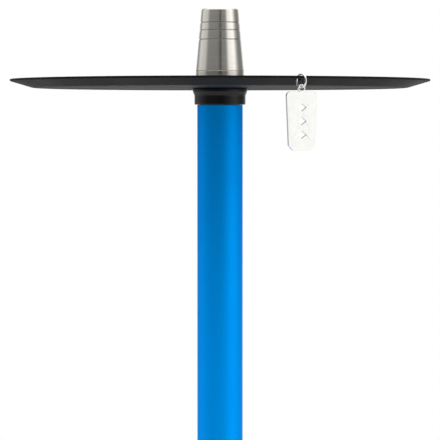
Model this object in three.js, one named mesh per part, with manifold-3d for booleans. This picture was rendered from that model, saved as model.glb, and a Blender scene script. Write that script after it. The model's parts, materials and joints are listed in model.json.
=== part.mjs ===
// A water-pipe stem with its ash tray, bowl adapter, hub, hose connector, downstem and a hanging charm.
// Millimetres, +Z up. The origin is on the stem's axis, in the plane that rests on the flask's rim.
// The hose connector points along +X, the purge valve is on -X, and the charm hangs at the front, on -Y.

import * as THREE from "three";
import { mergeVertices } from "three/addons/utils/BufferGeometryUtils.js";
import Module from "manifold-3d";

const wasm = await Module();
wasm.setup();

// ---------------------------------------------------------------- driving dimensions

const GAP = 0.3; // between screwed, pushed-in or stacked pieces
const FACE_GAP = 0.1; // between faces that rest on each other

// Heights of the main planes
const RIM_Z = 340; // the tray's rim
const HUB_BOTTOM = 3;
const HUB_TOP = 43;
const TRAY_DEPTH = 4.4; // rim plane down to the tray's underside
const COLLAR_BOTTOM = RIM_Z - 13.9;
const COLLAR_TOP = RIM_Z - TRAY_DEPTH - FACE_GAP;
const ADAPTER_TOP = RIM_Z + 41;

// Radii of the tubes
const TUBE_R = 13;
const TUBE_BORE = 11;
const SMOKE_R = 8;
const SMOKE_BORE = 6.5;
const SOCKET_R = SMOKE_R + GAP; // every bore that takes the smoke tube or the downstem
const SEAL_SEAT_R = 10.4; // of the step round such a bore that holds its seal
const SEAL_SEAT_DEPTH = 2.4;

// Tray
const TRAY_R = 120;
const TRAY_FLAT_R = 106.8;
const TRAY_SHEET = 1.3;
const TRAY_HOLE_R = 14.3;
const RIM_HALF = 0.67; // half the thickness of the rounded rim

// Bowl adapter
const ADAPTER_BASE_R = 13.85;
const ADAPTER_TOP_R = 10.55;
const ADAPTER_SKIRT = RIM_Z + 5.4; // the cone starts here
const ADAPTER_BORE = 5.75;
const ADAPTER_GROOVES = [RIM_Z + 23.3, RIM_Z + 28.65, RIM_Z + 32.95];
const GROOVE_HALF = 0.35;
const GROOVE_DEPTH = 0.4;
const SOCKET_DEPTH = 15.4; // of the adapter over the smoke tube

// Collar under the tray, and the ring at the tube's foot
const COLLAR_R = 14.6;
const COLLAR_LIP_R = 15.55;
const SPIGOT_LENGTH = 9;
const FOOT_RING_R = 16;
const FOOT_RING_HEIGHT = 6.5;

// Hub
const HUB_R = 31;
const CHAMBER_R = 27;
const CHAMBER_ROOF = 33;
const PILLAR_R = 12;
const PILLAR_BOTTOM = 12;
const STOP_LOW = 24; // the web that parts the downstem's socket from the smoke tube's
const STOP_HIGH = 27;

// Hose port, along +X
const PORT_Z = 21;
const PORT_BOSS_R = 14.5;
const PORT_BOSS_END = 44;
const PORT_SEAT = 29;
const PORT_HOLE_R = 9;
const PORT_SEAL_SEAT_R = 13;
const PORT_SEAL_SEAT_DEPTH = 1.8;
const SLEEVE_R = 11;
const SLEEVE_FLANGE_R = 13.5;
const SLEEVE_FRONT = PORT_BOSS_END + FACE_GAP + 2.2;
const CONNECTOR_R = 8.6;
const CONNECTOR_BORE = 5.5;
const CONNECTOR_START = 30;
const CONNECTOR_END = 92;
const CONNECTOR_SEALS = [34.5, 40.5];
const CONNECTOR_GROOVE_R = 6.9;
const GRIP_R = 12.2;
const GRIP_END = 64;
const BARBS = [66, 73, 80, 87];
const BARB_PEAK_R = 9.2;
const BARB_VALLEY_R = 8.1;

// Purge valve, on -X
const VALVE_X = -23.5;
const VALVE_BORE = 6;
const VALVE_FLOOR = 35;
const BALL_R = 4;

// Flask seat
const SEAT_BORE = 17;
const SEAT_R = 19.5;
const SEAT_END = -24;
const SEAT_FLANGE_TOP = 9;
const GASKET_R = 29;
const GASKET_PLUG_TOP_R = 24;
const GASKET_PLUG_END_R = 21.8;
const GASKET_PLUG_END = -22;
const SPIGOT_GROOVE = [5, 7]; // the heights between which its seal lies

// Downstem and diffuser
const DOWNSTEM_END = -190;
const DOWNSTEM_FLANGE = [7.5, 10];
const DIFFUSER_TOP = -176;
const DIFFUSER_END = -216;
const DIFFUSER_R = 11.5;
const DIFFUSER_SLOTS = 6;

// Charm
const CHARM_AZIMUTH = 20.6; // of the hole in the tray's wall, from -Y towards +X, in degrees
const CHARM_HOLE_FROM_RIM = 3.5;
const CHARM_HOLE_R = 1.8;
const RING_AZIMUTH = 41.4; // the way the ring's plane runs
const RING_MEAN_R = 3.5;
const RING_WIRE_R = 0.55;
const RING_OUT = 2.75; // the ring's middle from the hole, along the ring's plane
const RING_DOWN = 0.9; // and below the hole
const TAG_AZIMUTH = 22; // the way the tag faces
const TAG_WIDTH = 17.8;
const TAG_FOOT_WIDTH = 15.2;
const TAG_HEIGHT = 31.2;
const TAG_THICK = 1.3;
const EYE_R = 2.1;
const EYE_HOLE_R = 1.35;
const EYE_CLEAR = 0.3; // between the eye and the wire that it hangs on

// Facets
const ROUND = 28;
const TRAY_SIDES = 48;
const SMALL_ROUND = 16;
const SEAL_SECTION = 6;

// ---------------------------------------------------------------- materials

const steel = () => new THREE.MeshStandardMaterial({ color: 0xa8a49b, roughness: 0.3, metalness: 1 });
const polished = () => new THREE.MeshStandardMaterial({ color: 0xe6e5e0, roughness: 0.15, metalness: 1 });
const blackCoat = () => new THREE.MeshStandardMaterial({ color: 0x242424, roughness: 0.45, metalness: 0.2 });
const blueCoat = () => new THREE.MeshStandardMaterial({ color: 0x0379cd, roughness: 0.4, metalness: 0.1 });
const blackPlastic = () => new THREE.MeshStandardMaterial({ color: 0x161616, roughness: 0.5, metalness: 0 });
const blackMetal = () => new THREE.MeshStandardMaterial({ color: 0x1d1d1f, roughness: 0.4, metalness: 0.6 });
const silicone = () => new THREE.MeshStandardMaterial({ color: 0x2a2a2c, roughness: 0.7, metalness: 0 });
const sealRubber = () => new THREE.MeshStandardMaterial({ color: 0x101010, roughness: 0.6, metalness: 0 });

// ---------------------------------------------------------------- shape helpers

const part = new THREE.Group();

function add(name, geometry, material) {
  const mesh = new THREE.Mesh(geometry, material);
  mesh.name = name;
  part.add(mesh);
}

// A body turned about Z. The outline holds [radius, height] pairs and runs counter-clockwise.
function turned(outline, sides = ROUND) {
  const points = [...outline, outline[0]].map(([r, z]) => new THREE.Vector2(r, z));
  return new THREE.LatheGeometry(points, sides).rotateX(Math.PI / 2);
}

// The same, laid along +X at the height of the hose port.
function turnedAlongX(outline, sides = ROUND) {
  return turned(outline, sides).rotateY(Math.PI / 2).translate(0, 0, PORT_Z);
}

// A plain cylinder along Z between two heights.
function rod(radius, low, high, sides = ROUND) {
  return new THREE.CylinderGeometry(radius, radius, high - low, sides)
    .rotateX(Math.PI / 2)
    .translate(0, 0, (low + high) / 2);
}

// The outline of a round section, for seals and wire rings.
function roundSection(radius, height, half, steps = SEAL_SECTION) {
  return Array.from({ length: steps }, (_, i) => {
    const turn = (2 * Math.PI * i) / steps;
    return [radius + half * Math.cos(turn), height + half * Math.sin(turn)];
  });
}

function seal(radius, height, half, sides = SMALL_ROUND) {
  return turned(roundSection(radius, height, half), sides);
}

// The seal round the smoke tube or the downstem, by the height of its seat's middle.
function tubeSeal(height) {
  return seal((SOCKET_R + SEAL_SEAT_R) / 2, height, 0.85);
}

// A seal on an axis along +X.
function sealAlongX(radius, x, half) {
  return turnedAlongX(roundSection(radius, x, half), SMALL_ROUND);
}

function solid(geometry) {
  const bare = geometry.clone();
  bare.deleteAttribute("normal");
  bare.deleteAttribute("uv");
  const merged = mergeVertices(bare, 1e-4);
  const vertProperties = merged.getAttribute("position").array;
  const triVerts = new Uint32Array(merged.index.array);
  return new wasm.Manifold(new wasm.Mesh({ numProp: 3, vertProperties, triVerts }));
}

function geometryOf(shape) {
  const { vertProperties, triVerts } = shape.getMesh();
  const indexed = new THREE.BufferGeometry();
  indexed.setAttribute("position", new THREE.BufferAttribute(vertProperties, 3));
  indexed.setIndex(new THREE.BufferAttribute(triVerts, 1));
  const faceted = indexed.toNonIndexed();
  faceted.computeVertexNormals();
  return faceted;
}

const cut = (body, ...tools) =>
  geometryOf(tools.reduce((rest, tool) => rest.subtract(solid(tool)), solid(body)));

const join = (...bodies) =>
  geometryOf(bodies.map(solid).reduce((sum, body) => sum.add(body)));

// ---------------------------------------------------------------- top end

// Radius of the adapter's cone at a height.
function coneR(z) {
  const share = (z - ADAPTER_SKIRT) / (ADAPTER_TOP - ADAPTER_SKIRT);
  return ADAPTER_BASE_R + share * (ADAPTER_TOP_R - ADAPTER_BASE_R);
}

// A turned groove in the cone: down, along and up again.
function coneGroove(z) {
  return [
    [coneR(z - GROOVE_HALF), z - GROOVE_HALF],
    [coneR(z) - GROOVE_DEPTH, z],
    [coneR(z + GROOVE_HALF), z + GROOVE_HALF],
  ];
}

function bowlAdapter() {
  const base = COLLAR_TOP + FACE_GAP;
  const edge = 0.3;
  const topRound = 1.3;
  return turned([
    [SOCKET_R, base],
    [ADAPTER_BASE_R - edge, base],
    [ADAPTER_BASE_R, base + edge],
    [ADAPTER_BASE_R, ADAPTER_SKIRT - edge],
    [ADAPTER_BASE_R - edge / 2, ADAPTER_SKIRT],
    ...ADAPTER_GROOVES.flatMap(coneGroove),
    [coneR(ADAPTER_TOP - topRound), ADAPTER_TOP - topRound],
    [ADAPTER_TOP_R - topRound * 0.3, ADAPTER_TOP - topRound * 0.3],
    [ADAPTER_TOP_R - topRound, ADAPTER_TOP],
    [ADAPTER_BORE, ADAPTER_TOP],
    [ADAPTER_BORE, base + SOCKET_DEPTH],
    [SOCKET_R, base + SOCKET_DEPTH],
  ]);
}

function trayCollar() {
  const round = 0.5;
  const lipUnder = RIM_Z - 6.4;
  return turned([
    [SOCKET_R, COLLAR_BOTTOM - SPIGOT_LENGTH],
    [TUBE_BORE - GAP, COLLAR_BOTTOM - SPIGOT_LENGTH],
    [TUBE_BORE - GAP, COLLAR_BOTTOM],
    [COLLAR_R - round, COLLAR_BOTTOM],
    [COLLAR_R, COLLAR_BOTTOM + round],
    [COLLAR_R, lipUnder - 2.6],
    [COLLAR_R + 0.25, lipUnder - 1.2],
    [COLLAR_LIP_R, lipUnder],
    [COLLAR_LIP_R, COLLAR_TOP - round],
    [COLLAR_LIP_R - round, COLLAR_TOP],
    [SEAL_SEAT_R, COLLAR_TOP],
    [SEAL_SEAT_R, COLLAR_TOP - SEAL_SEAT_DEPTH],
    [SOCKET_R, COLLAR_TOP - SEAL_SEAT_DEPTH],
  ]);
}

// ---------------------------------------------------------------- tray

function trayDish() {
  const under = RIM_Z - TRAY_DEPTH;
  const floor = under + TRAY_SHEET;
  const bend = 1.2;
  return turned(
    [
      [TRAY_HOLE_R, under],
      [TRAY_FLAT_R - bend, under],
      [TRAY_FLAT_R + bend, under + 0.4],
      [TRAY_R - RIM_HALF, RIM_Z - RIM_HALF],
      [TRAY_R, RIM_Z],
      [TRAY_R - RIM_HALF, RIM_Z + RIM_HALF],
      [TRAY_FLAT_R + bend - 0.4, floor + 0.4],
      [TRAY_FLAT_R - bend - 0.3, floor],
      [TRAY_HOLE_R, floor],
    ],
    TRAY_SIDES,
  );
}

// A level direction, given by its azimuth from -Y towards +X.
function heading(azimuth) {
  const turn = THREE.MathUtils.degToRad(azimuth);
  return new THREE.Vector3(Math.sin(turn), -Math.cos(turn), 0);
}

const WALL_SLOPE = Math.atan2(TRAY_DEPTH - RIM_HALF, TRAY_R - TRAY_FLAT_R - 1);

// The middle of the charm's hole, in the middle of the sheet.
const CHARM_HOLE = heading(CHARM_AZIMUTH)
  .multiplyScalar(TRAY_R - CHARM_HOLE_FROM_RIM)
  .setZ(RIM_Z - CHARM_HOLE_FROM_RIM * Math.tan(WALL_SLOPE));

function tray() {
  const drill = rod(CHARM_HOLE_R, -4, 4, 16)
    .rotateX(-WALL_SLOPE)
    .rotateZ(THREE.MathUtils.degToRad(CHARM_AZIMUTH))
    .translate(CHARM_HOLE.x, CHARM_HOLE.y, CHARM_HOLE.z);
  return cut(trayDish(), drill);
}

// ---------------------------------------------------------------- charm

// The wire runs through the hole on one side and past the rim's edge on the other.
const RING_CENTRE = CHARM_HOLE.clone()
  .addScaledVector(heading(RING_AZIMUTH), RING_OUT)
  .add(new THREE.Vector3(0, 0, -RING_DOWN));

function charmRing() {
  return turned(roundSection(RING_MEAN_R, 0, RING_WIRE_R, 8), 24)
    .rotateX(Math.PI / 2)
    .rotateZ(THREE.MathUtils.degToRad(RING_AZIMUTH + 90))
    .translate(...RING_CENTRE);
}

// The tag's outline, with its eye's centre at the origin: a plate with a narrower foot,
// rounded shoulders, cut lower corners and three rhombic windows in a row.
function tagShape() {
  const top = -EYE_R + 0.35;
  const foot = top - TAG_HEIGHT;
  const half = TAG_WIDTH / 2;
  const footHalf = TAG_FOOT_WIDTH / 2;
  const corner = 2.6;
  const neck = Math.sqrt(EYE_R ** 2 - top ** 2);
  const shape = new THREE.Shape();
  shape.moveTo(neck, top);
  shape.absarc(0, 0, EYE_R, Math.atan2(top, neck), Math.atan2(top, -neck), false);
  shape.lineTo(-half + corner, top);
  shape.quadraticCurveTo(-half, top, -half, top - corner);
  shape.lineTo(-footHalf, foot + corner);
  shape.lineTo(-footHalf + corner, foot);
  shape.lineTo(footHalf - corner, foot);
  shape.lineTo(footHalf, foot + corner);
  shape.lineTo(half, top - corner);
  shape.quadraticCurveTo(half, top, half - corner, top);
  shape.lineTo(neck, top);
  shape.holes.push(new THREE.Path().absarc(0, 0, EYE_HOLE_R, 0, 2 * Math.PI, true));
  for (const row of [0.27, 0.5, 0.73]) {
    shape.holes.push(rhombus(top - row * TAG_HEIGHT));
  }
  return shape;
}

function rhombus(y) {
  const halfWidth = 2.6;
  const halfHeight = 2;
  return new THREE.Path()
    .moveTo(halfWidth, y)
    .lineTo(0, y - halfHeight)
    .lineTo(-halfWidth, y)
    .lineTo(0, y + halfHeight)
    .closePath();
}

function charmTag() {
  const hang = EYE_HOLE_R - RING_WIRE_R - EYE_CLEAR;
  const eye = RING_CENTRE.clone().add(new THREE.Vector3(0, 0, -RING_MEAN_R - hang));
  const plate = { depth: TAG_THICK, bevelEnabled: false, curveSegments: 8 };
  return new THREE.ExtrudeGeometry(tagShape(), plate)
    .translate(0, 0, -TAG_THICK / 2)
    .rotateX(Math.PI / 2)
    .rotateZ(THREE.MathUtils.degToRad(TAG_AZIMUTH))
    .translate(...eye);
}

// ---------------------------------------------------------------- tubes

const tube = (inner, outer, low, high) =>
  turned([[inner, low], [outer, low], [outer, high], [inner, high]]);

function outerTube() {
  const foot = HUB_TOP + FOOT_RING_HEIGHT + 2 * FACE_GAP;
  return tube(TUBE_BORE, TUBE_R, foot, COLLAR_BOTTOM - FACE_GAP);
}

function smokeTube() {
  const socketEnd = COLLAR_TOP + FACE_GAP + SOCKET_DEPTH;
  return tube(SMOKE_BORE, SMOKE_R, STOP_HIGH + GAP, socketEnd - GAP);
}

function tubeFootRing() {
  const base = HUB_TOP + FACE_GAP;
  const shelf = base + FOOT_RING_HEIGHT;
  const round = 0.8;
  return turned([
    [SOCKET_R, base],
    [FOOT_RING_R, base],
    [FOOT_RING_R, base + 2.2],
    [COLLAR_R, base + 4],
    [COLLAR_R, shelf - round],
    [COLLAR_R - round, shelf],
    [TUBE_BORE - GAP, shelf],
    [TUBE_BORE - GAP, shelf + SPIGOT_LENGTH],
    [SOCKET_R, shelf + SPIGOT_LENGTH],
  ]);
}

// ---------------------------------------------------------------- hub

function hubBody() {
  const chamfer = 1.5;
  const shell = turned([
    [CHAMBER_R, HUB_BOTTOM],
    [HUB_R - chamfer, HUB_BOTTOM],
    [HUB_R, HUB_BOTTOM + chamfer],
    [HUB_R, HUB_TOP - chamfer],
    [HUB_R - chamfer, HUB_TOP],
    [SEAL_SEAT_R, HUB_TOP],
    [SEAL_SEAT_R, HUB_TOP - SEAL_SEAT_DEPTH],
    [SOCKET_R, HUB_TOP - SEAL_SEAT_DEPTH],
    [SOCKET_R, STOP_HIGH],
    [SMOKE_BORE, STOP_HIGH],
    [SMOKE_BORE, STOP_LOW],
    [SOCKET_R, STOP_LOW],
    [SOCKET_R, PILLAR_BOTTOM],
    [PILLAR_R, PILLAR_BOTTOM],
    [PILLAR_R, CHAMBER_ROOF],
    [CHAMBER_R, CHAMBER_ROOF],
  ]);
  const bossEdge = 1;
  const boss = turnedAlongX([
    [PORT_HOLE_R, PORT_SEAT],
    [PORT_BOSS_R, PORT_SEAT],
    [PORT_BOSS_R, PORT_BOSS_END - bossEdge],
    [PORT_BOSS_R - bossEdge, PORT_BOSS_END],
    [PORT_HOLE_R, PORT_BOSS_END],
  ]);
  const port = turnedAlongX([
    [0, CHAMBER_R - 5],
    [PORT_HOLE_R, CHAMBER_R - 5],
    [PORT_HOLE_R, PORT_SEAT],
    [SLEEVE_R + GAP, PORT_SEAT],
    [SLEEVE_R + GAP, PORT_BOSS_END - PORT_SEAL_SEAT_DEPTH],
    [PORT_SEAL_SEAT_R, PORT_BOSS_END - PORT_SEAL_SEAT_DEPTH],
    [PORT_SEAL_SEAT_R, PORT_BOSS_END + 1],
    [0, PORT_BOSS_END + 1],
  ]);
  const valveHole = rod(3, CHAMBER_ROOF - 1, VALVE_FLOOR + 1, SMALL_ROUND).translate(VALVE_X, 0, 0);
  const valveBore = rod(VALVE_BORE, VALVE_FLOOR, HUB_TOP + 1, SMALL_ROUND).translate(VALVE_X, 0, 0);
  return cut(join(shell, boss), port, valveHole, valveBore);
}

// ---------------------------------------------------------------- hose port

function hosePortSleeve() {
  const flange = PORT_BOSS_END + FACE_GAP;
  const edge = 0.6;
  return turnedAlongX([
    [PORT_HOLE_R, PORT_SEAT + GAP],
    [SLEEVE_R, PORT_SEAT + GAP],
    [SLEEVE_R, flange],
    [SLEEVE_FLANGE_R, flange],
    [SLEEVE_FLANGE_R, SLEEVE_FRONT - edge],
    [SLEEVE_FLANGE_R - edge, SLEEVE_FRONT],
    [PORT_HOLE_R + edge, SLEEVE_FRONT],
    [PORT_HOLE_R, SLEEVE_FRONT - edge],
  ]);
}

// A square groove for a seal on the connector.
function connectorGroove(x) {
  const half = 1.1;
  return [
    [CONNECTOR_R, x - half],
    [CONNECTOR_GROOVE_R, x - half],
    [CONNECTOR_GROOVE_R, x + half],
    [CONNECTOR_R, x + half],
  ];
}

// One barb for the hose: a slope that a hose slips over and a step that holds it.
function barb(x) {
  const land = 0.8;
  const length = 6;
  return [
    [BARB_PEAK_R, x],
    [BARB_PEAK_R, x + land],
    [BARB_VALLEY_R, Math.min(x + length, CONNECTOR_END)],
  ];
}

function hoseConnector() {
  const shoulder = SLEEVE_FRONT + GAP;
  const shoulderWidth = 2.6;
  const edge = 1;
  return turnedAlongX([
    [CONNECTOR_BORE, CONNECTOR_START],
    [CONNECTOR_R - 0.6, CONNECTOR_START],
    [CONNECTOR_R, CONNECTOR_START + 0.8],
    ...CONNECTOR_SEALS.flatMap(connectorGroove),
    [CONNECTOR_R, shoulder],
    [SLEEVE_FLANGE_R, shoulder],
    [SLEEVE_FLANGE_R, shoulder + shoulderWidth],
    [GRIP_R, shoulder + shoulderWidth + edge],
    [GRIP_R, GRIP_END - edge],
    [GRIP_R - edge, GRIP_END],
    [BARB_VALLEY_R, GRIP_END],
    ...BARBS.flatMap(barb),
    [CONNECTOR_BORE, CONNECTOR_END],
  ]);
}

// ---------------------------------------------------------------- purge valve

const SEAT_TOP = VALVE_FLOOR + GAP + 2;
const SEAT_HOLE_R = 2.5;
const BALL_Z = SEAT_TOP + Math.sqrt(BALL_R ** 2 - SEAT_HOLE_R ** 2) + FACE_GAP;

function valveSeat() {
  return tube(SEAT_HOLE_R, VALVE_BORE - GAP, VALVE_FLOOR + GAP, SEAT_TOP).translate(VALVE_X, 0, 0);
}

function valveCap() {
  const head = HUB_TOP + FACE_GAP;
  const headR = 6.9;
  const top = head + 6.4;
  const roof = top - 1.5;
  const inner = BALL_R + 0.6;
  const foot = SEAT_TOP + 1;
  const edge = 0.7;
  const ventR = 1.3;
  const ventZ = head + 2.6;
  const body = turned(
    [
      [0, roof],
      [inner, roof],
      [inner, foot],
      [VALVE_BORE - GAP, foot],
      [VALVE_BORE - GAP, head],
      [headR, head],
      [headR, top - edge],
      [headR - edge, top],
      [0, top],
    ],
    SMALL_ROUND,
  );
  const vents = [0, 60, 120].map((azimuth) =>
    rod(ventR, -10, 10, 12)
      .rotateX(Math.PI / 2)
      .rotateZ(THREE.MathUtils.degToRad(azimuth))
      .translate(0, 0, ventZ),
  );
  return cut(body, ...vents).translate(VALVE_X, 0, 0);
}

function purgeBall() {
  return new THREE.SphereGeometry(BALL_R, 16, 10).rotateX(Math.PI / 2).translate(VALVE_X, 0, BALL_Z);
}

// ---------------------------------------------------------------- flask seat

function neckSpigot() {
  const grooveFloor = CHAMBER_R - 1.8;
  const [grooveLow, grooveHigh] = SPIGOT_GROOVE;
  const rim = CHAMBER_R - GAP;
  return turned([
    [SEAT_BORE, SEAT_END],
    [SEAT_R - 0.8, SEAT_END],
    [SEAT_R, SEAT_END + 0.8],
    [SEAT_R, HUB_BOTTOM],
    [rim, HUB_BOTTOM],
    [rim, grooveLow],
    [grooveFloor, grooveLow],
    [grooveFloor, grooveHigh],
    [rim, grooveHigh],
    [rim, SEAT_FLANGE_TOP],
    [SEAT_BORE, SEAT_FLANGE_TOP],
  ]);
}

function neckGasket() {
  const inner = SEAT_R + GAP;
  const top = HUB_BOTTOM - GAP;
  return turned([
    [inner, GASKET_PLUG_END],
    [GASKET_PLUG_END_R, GASKET_PLUG_END],
    [GASKET_PLUG_TOP_R, 0],
    [GASKET_R, 0],
    [GASKET_R, top],
    [inner, top],
  ]);
}

// ---------------------------------------------------------------- downstem and diffuser

function downstem() {
  const flangeR = 11.5;
  const [flangeLow, flangeHigh] = DOWNSTEM_FLANGE;
  return turned([
    [SMOKE_BORE, DOWNSTEM_END],
    [SMOKE_R, DOWNSTEM_END],
    [SMOKE_R, flangeLow],
    [flangeR, flangeLow],
    [flangeR, flangeHigh],
    [SMOKE_R, flangeHigh],
    [SMOKE_R, STOP_LOW - GAP],
    [SMOKE_BORE, STOP_LOW - GAP],
  ]);
}

const DIFFUSER_SEAL_Z = DIFFUSER_TOP - 5;

function diffuser() {
  const inner = SMOKE_R + 0.4;
  const wellR = 9;
  const grooveR = 9.9;
  const floor = DIFFUSER_END + 3;
  const well = DOWNSTEM_END - GAP;
  const edge = 1;
  const cup = turned([
    [0, DIFFUSER_END],
    [DIFFUSER_R - edge, DIFFUSER_END],
    [DIFFUSER_R, DIFFUSER_END + edge],
    [DIFFUSER_R, DIFFUSER_TOP - edge],
    [DIFFUSER_R - edge, DIFFUSER_TOP],
    [inner, DIFFUSER_TOP],
    [inner, DIFFUSER_SEAL_Z + 1],
    [grooveR, DIFFUSER_SEAL_Z + 1],
    [grooveR, DIFFUSER_SEAL_Z - 1],
    [inner, DIFFUSER_SEAL_Z - 1],
    [inner, well],
    [wellR - 1, well - 1],
    [wellR - 1, floor],
    [0, floor],
  ]);
  const slotWidth = 2;
  const slotHeight = 16;
  const slots = Array.from({ length: DIFFUSER_SLOTS / 2 }, (_, i) =>
    new THREE.BoxGeometry(2 * DIFFUSER_R + 2, slotWidth, slotHeight)
      .rotateZ((2 * Math.PI * i) / DIFFUSER_SLOTS)
      .translate(0, 0, floor + slotHeight / 2 + 1),
  );
  return cut(cup, ...slots);
}

// ---------------------------------------------------------------- assembly

add("bowl_adapter", bowlAdapter(), steel());
add("adapter_o_ring", tubeSeal(COLLAR_TOP - SEAL_SEAT_DEPTH / 2), sealRubber());
add("tray", tray(), blackCoat());
add("tray_collar", trayCollar(), blackPlastic());
add("outer_tube", outerTube(), blueCoat());
add("smoke_tube", smokeTube(), steel());
add("tube_foot_ring", tubeFootRing(), blackPlastic());
add("smoke_tube_o_ring", tubeSeal(HUB_TOP - SEAL_SEAT_DEPTH / 2), sealRubber());
add("hub_body", hubBody(), blackMetal());
add("hose_port_sleeve", hosePortSleeve(), steel());
add("hose_port_o_ring", sealAlongX(12.15, PORT_BOSS_END - PORT_SEAL_SEAT_DEPTH / 2, 0.7), sealRubber());
add("hose_connector", hoseConnector(), steel());
add("connector_o_ring_inner", sealAlongX(8, CONNECTOR_SEALS[0], 0.75), sealRubber());
add("connector_o_ring_outer", sealAlongX(8, CONNECTOR_SEALS[1], 0.75), sealRubber());
add("valve_seat", valveSeat(), steel());
add("purge_ball", purgeBall(), polished());
add("valve_cap", valveCap(), steel());
add("neck_spigot", neckSpigot(), blackMetal());
add("spigot_o_ring", seal(26.1, (SPIGOT_GROOVE[0] + SPIGOT_GROOVE[1]) / 2, 0.7, ROUND), sealRubber());
add("neck_gasket", neckGasket(), silicone());
add("downstem", downstem(), steel());
add("downstem_o_ring", tubeSeal(DOWNSTEM_FLANGE[1] + 1), sealRubber());
add("diffuser", diffuser(), blackPlastic());
add("diffuser_o_ring", seal(9.05, DIFFUSER_SEAL_Z, 0.7), sealRubber());
add("charm_ring", charmRing(), polished());
add("charm_tag", charmTag(), polished());

export default part;
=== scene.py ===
import json
import math

import bpy
from mathutils import Matrix, Vector


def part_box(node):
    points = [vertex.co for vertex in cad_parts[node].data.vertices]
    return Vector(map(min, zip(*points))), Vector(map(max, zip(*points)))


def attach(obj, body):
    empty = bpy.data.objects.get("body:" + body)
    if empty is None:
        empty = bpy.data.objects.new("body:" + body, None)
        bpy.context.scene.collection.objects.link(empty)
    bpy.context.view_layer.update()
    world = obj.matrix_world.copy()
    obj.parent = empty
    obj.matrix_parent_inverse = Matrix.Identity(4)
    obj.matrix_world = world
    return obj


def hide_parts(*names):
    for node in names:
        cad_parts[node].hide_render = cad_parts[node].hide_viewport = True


# The looks of a water-pipe stem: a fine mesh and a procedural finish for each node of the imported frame.
# Outlines and sizes below are in millimetres, in the frame's own axes; meshes are made in metres.

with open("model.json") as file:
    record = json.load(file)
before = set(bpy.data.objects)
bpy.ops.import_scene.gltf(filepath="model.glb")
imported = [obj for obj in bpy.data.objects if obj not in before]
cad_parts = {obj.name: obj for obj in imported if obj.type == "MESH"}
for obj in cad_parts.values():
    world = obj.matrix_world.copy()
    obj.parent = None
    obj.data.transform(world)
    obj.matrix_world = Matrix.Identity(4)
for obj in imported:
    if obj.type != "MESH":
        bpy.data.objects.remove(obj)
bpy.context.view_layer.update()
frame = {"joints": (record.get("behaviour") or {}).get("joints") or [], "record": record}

MM = 0.001
RECORD = frame["record"]
BODY_OF = {n: body for body, nodes in RECORD["behaviour"]["bodies"].items() for n in nodes}
JOINT = {joint["name"]: joint for joint in frame["joints"]}


def low(node):
    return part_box(node)[0] / MM


def high(node):
    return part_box(node)[1] / MM


# ---------------------------------------------------------------- sizes

# Heights and radii read from the frame
RIM_HALF = 0.67  # half the thickness of the tray's rim
RIM_Z = high("tray").z - RIM_HALF
TRAY_UNDER = low("tray").z
TRAY_R = high("tray").x
ADAPTER_BASE = low("bowl_adapter").z
ADAPTER_TOP = high("bowl_adapter").z
ADAPTER_BASE_R = high("bowl_adapter").x
COLLAR_TOP = high("tray_collar").z
TUBE_TOP = high("outer_tube").z
TUBE_R = high("outer_tube").x
SMOKE_R = high("smoke_tube").x
HUB_BOTTOM = low("hub_body").z
HUB_TOP = high("hub_body").z
HUB_R = -low("hub_body").x
BOSS_END = high("hub_body").x
PORT_Z = (low("hose_connector").z + high("hose_connector").z) / 2
VALVE_X = (low("valve_cap").x + high("valve_cap").x) / 2

# Walls and bores, which the boxes don't give
GAP = 0.3
SOCKET_R = SMOKE_R + GAP
SEAL_SEAT_R = 10.4  # of the step round a socket that holds its seal
SEAL_SEAT_DEPTH = 2.4
TUBE_SEAL_HALF = 0.85  # half the thickness of the seals round the tubes
SMOKE_BORE = 6.5
TUBE_BORE = 11
CHAMBER_R = 27
PORT_HOLE_R = 9
PORT_SEAT = 29
VALVE_BORE = 6

# How finely round bodies are divided
WIDE_SIDES = 320
SIDES = 160
SEAL_SIDES = 96
KNURL_SAMPLES = 6  # columns of points for each tooth of a knurl
ARC_STEP = math.radians(12)
CORNER_SHARE = 0.49  # the most of a side that the arc of one corner takes
TINY = 1e-6  # lengths up to this count as nothing
BEVEL_ANGLE = math.radians(35)  # cut edges sharper than this are rounded
SHARP_ANGLE = math.radians(40)  # edges sharper than this are shaded as sharp

# ---------------------------------------------------------------- mesh helpers


def rounded(points, closed=True):
    """Turns each corner [r, z, radius] into an arc. Returns (r, z, edge) points.

    edge is 1 on an outward arc, -1 on an inward one and 0 elsewhere. The outline runs counter-clockwise.
    """
    made = []
    for i, (r, z, *radius) in enumerate(points):
        at_end = not closed and i in (0, len(points) - 1)
        if not radius or at_end:
            made.append((r, z, 0.0))
            continue
        corner = Vector((r, z))
        back = Vector(points[i - 1][:2]) - corner
        ahead = Vector(points[(i + 1) % len(points)][:2]) - corner
        turn = math.pi - back.angle(ahead)
        outward = 1.0 if ahead.x * back.y - ahead.y * back.x > 0 else -1.0
        longest = CORNER_SHARE * min(back.length, ahead.length)
        reach = min(radius[0] * math.tan(turn / 2), longest)
        arc_radius = reach / math.tan(turn / 2)
        towards = (back.normalized() + ahead.normalized()).normalized()
        centre = corner + towards * arc_radius / math.cos(turn / 2)
        first = corner + back.normalized() * reach - centre
        steps = max(2, math.ceil(turn / ARC_STEP))
        for k in range(steps + 1):
            swing = Matrix.Rotation(outward * turn * k / steps, 2)
            point = centre + swing @ first
            edge = outward * math.sin(math.pi * k / steps)
            made.append((point.x, point.y, edge))
    return made


def divided(points, step, start, end):
    """Adds points to an outline so that it has one every step along the stretch between two heights."""
    made = []
    for here, there in zip(points, points[1:] + points[:1]):
        made.append(here)
        inside = all(start - TINY <= p[1] <= end + TINY for p in (here, there))
        count = math.ceil(abs(there[1] - here[1]) / step) if inside else 1
        for k in range(1, count):
            share = k / count
            made.append(tuple(a + share * (b - a) for a, b in zip(here, there)))
    return made


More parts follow.
